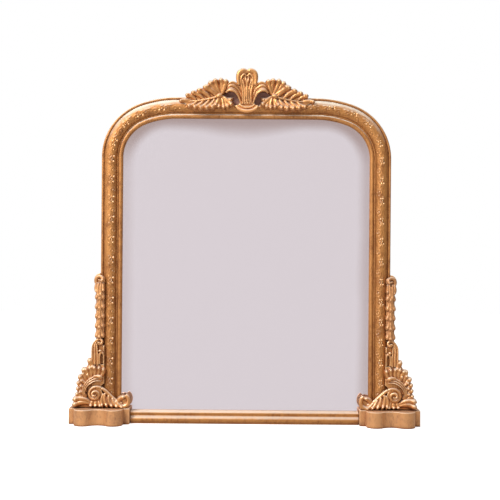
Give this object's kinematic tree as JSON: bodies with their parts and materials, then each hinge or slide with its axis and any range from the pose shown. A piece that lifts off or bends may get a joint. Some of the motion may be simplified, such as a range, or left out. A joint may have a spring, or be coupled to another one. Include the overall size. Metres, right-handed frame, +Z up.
{
  "type": "overmantel mirror",
  "caption": "Arched overmantel mirror in a moulded giltwood frame, with a carved crest, scroll consoles on serpentine plinth blocks, and hanging rings behind.",
  "frame": {"origin": "middle of the overall box, at the underside of the plinth blocks", "axes": "+X to the viewer's right, +Y towards the wall, +Z up; the mirror faces -Y"},
  "size_m": [1.21, 0.114, 1.2296],
  "materials": {
    "gilt_wood": "worn gilding over red-brown bole",
    "bole_wood": "painted bole colour, matt",
    "plain_wood": "bare pine",
    "backboard_wood": "bare board",
    "mirror_glass": "silvered glass",
    "brass": "satin",
    "steel": "zinc plated"
  },
  "bodies": {
    "frame": {"stile_left": "gilt_wood", "stile_right": "gilt_wood", "corner_left": "gilt_wood", "corner_right": "gilt_wood", "top_rail": "gilt_wood", "bottom_rail": "gilt_wood", "plinth_left": "gilt_wood", "plinth_right": "gilt_wood", "corner_splines": "plain_wood", "foot_dowels": "plain_wood", "rail_dowels": "plain_wood", "mirror_glass": "mirror_glass", "glazing_blocks": "plain_wood", "backboard": "backboard_wood", "backboard_screws": "steel", "berries_left": "gilt_wood", "berries_right": "gilt_wood", "berries_arch": "gilt_wood", "crest_plume": "gilt_wood", "crest_collar": "gilt_wood", "crest_foliage_left": "gilt_wood", "crest_foliage_right": "gilt_wood", "crest_support": "bole_wood", "crest_screws": "steel", "console_block_left": "gilt_wood", "console_block_right": "gilt_wood", "husk_drop_left": "gilt_wood", "husk_drop_right": "gilt_wood", "console_scroll_left": "gilt_wood", "console_scroll_right": "gilt_wood", "acanthus_left": "gilt_wood", "acanthus_right": "gilt_wood", "volute_left": "gilt_wood", "volute_right": "gilt_wood", "foot_spray_left": "gilt_wood", "foot_spray_right": "gilt_wood", "mending_plates": "steel", "plate_screws": "steel", "hanger_left": "brass", "hanger_right": "brass", "hanger_screws": "steel"},
    "ring_left": {"ring_left": "brass"},
    "ring_right": {"ring_right": "brass"}
  },
  "joints": [
    {"name": "ring_left_swing", "type": "hinge", "parent": "frame", "child": "ring_left", "pos_m": [-0.478, 0.054, 0.83], "axis": [1, 0, 0], "range_deg": [0, 180]},
    {"name": "ring_right_swing", "type": "hinge", "parent": "frame", "child": "ring_right", "pos_m": [0.478, 0.054, 0.83], "axis": [1, 0, 0], "range_deg": [0, 180]}
  ]
}
